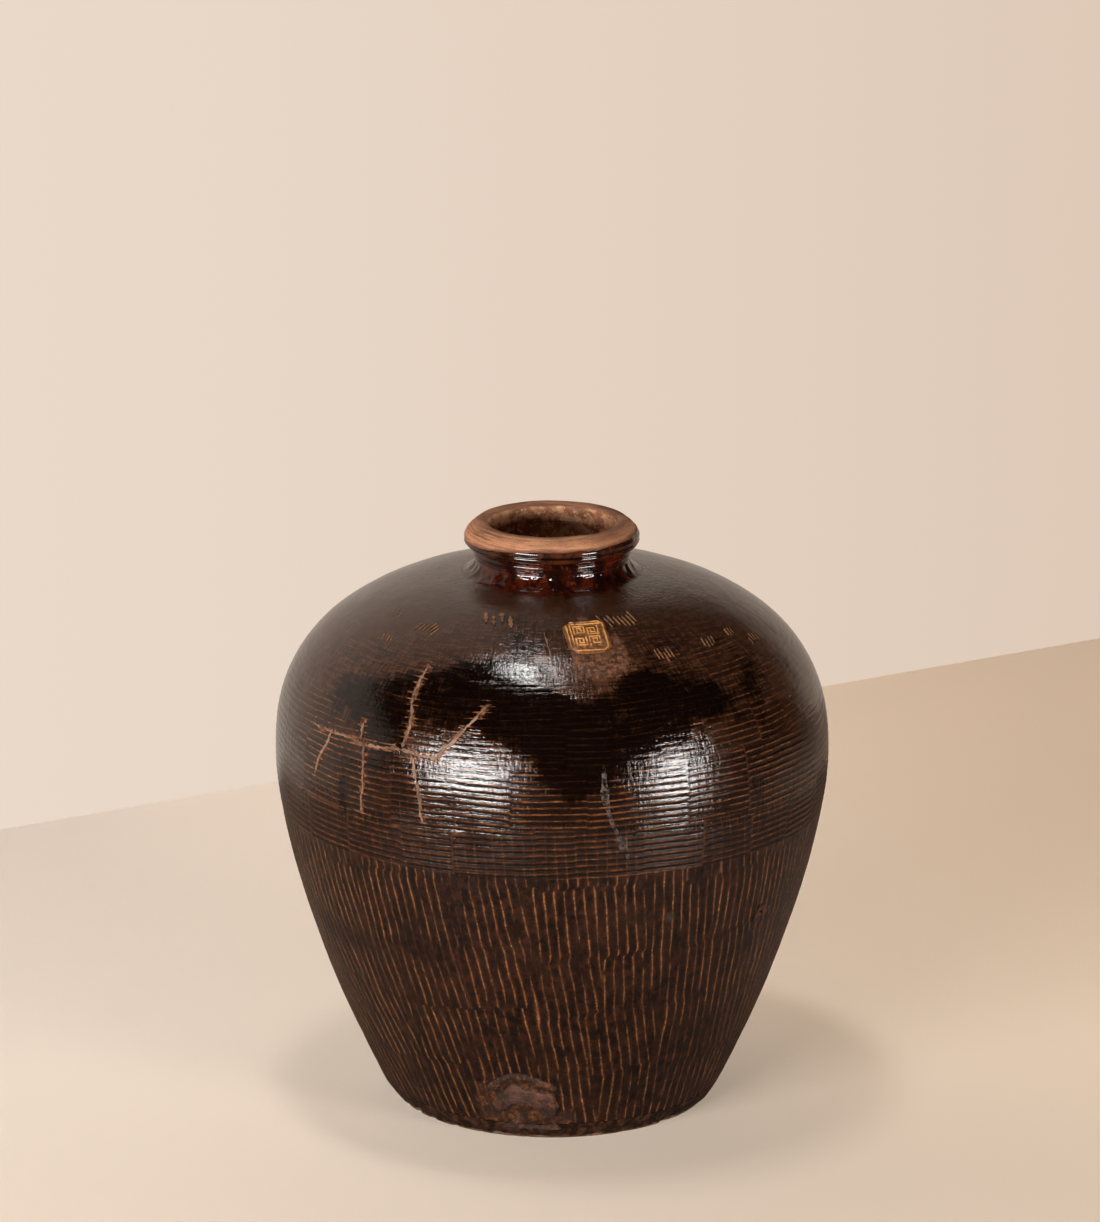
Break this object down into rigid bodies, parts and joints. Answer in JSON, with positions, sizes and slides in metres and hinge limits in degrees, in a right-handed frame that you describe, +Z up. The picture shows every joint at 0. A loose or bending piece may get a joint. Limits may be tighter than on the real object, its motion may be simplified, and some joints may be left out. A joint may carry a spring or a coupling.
{
  "type": "stoneware storage jar",
  "caption": "Wide-shouldered stoneware storage jar with a narrow neck, rolled lip and ribbed dark crackle glaze, built from luted clay sections.",
  "frame": {"origin": "centre of the foot, on the surface that the jar stands on", "axes": "+Z up along the jar's axis, -Y towards the front, where the stamped pad and the kiln scar are, +X to the right seen from the front"},
  "size_m": [0.4488, 0.4488, 0.4782],
  "materials": {
    "dark_glaze": "glossy dark brown crackle glaze over ribbed stoneware",
    "russet_glaze": "glossy red-brown glaze, pooled in streaks",
    "bare_clay": "matt unglazed stoneware with throwing lines",
    "stamp_clay": "ochre clay pad with a thin satin glaze",
    "scar_clay": "rough fused kiln clay",
    "filler": "matt mortar-like crack filling"
  },
  "bodies": {
    "root": {"base_slab": "bare_clay", "lower_wall": "dark_glaze", "belly_wall": "dark_glaze", "shoulder_wall": "dark_glaze", "neck_collar": "russet_glaze", "rolled_lip": "bare_clay", "seal_pad": "stamp_clay", "kiln_scar": "scar_clay", "kiln_grit": "scar_clay", "mortar_smear": "filler", "joint_crack_filler": "filler", "upper_crack_filler_long": "filler", "upper_crack_filler_short": "filler", "upper_crack_filler_side": "filler", "lower_crack_filler_front": "filler", "lower_crack_filler_middle": "filler", "lower_crack_filler_side": "filler"}
  },
  "joints": []
}
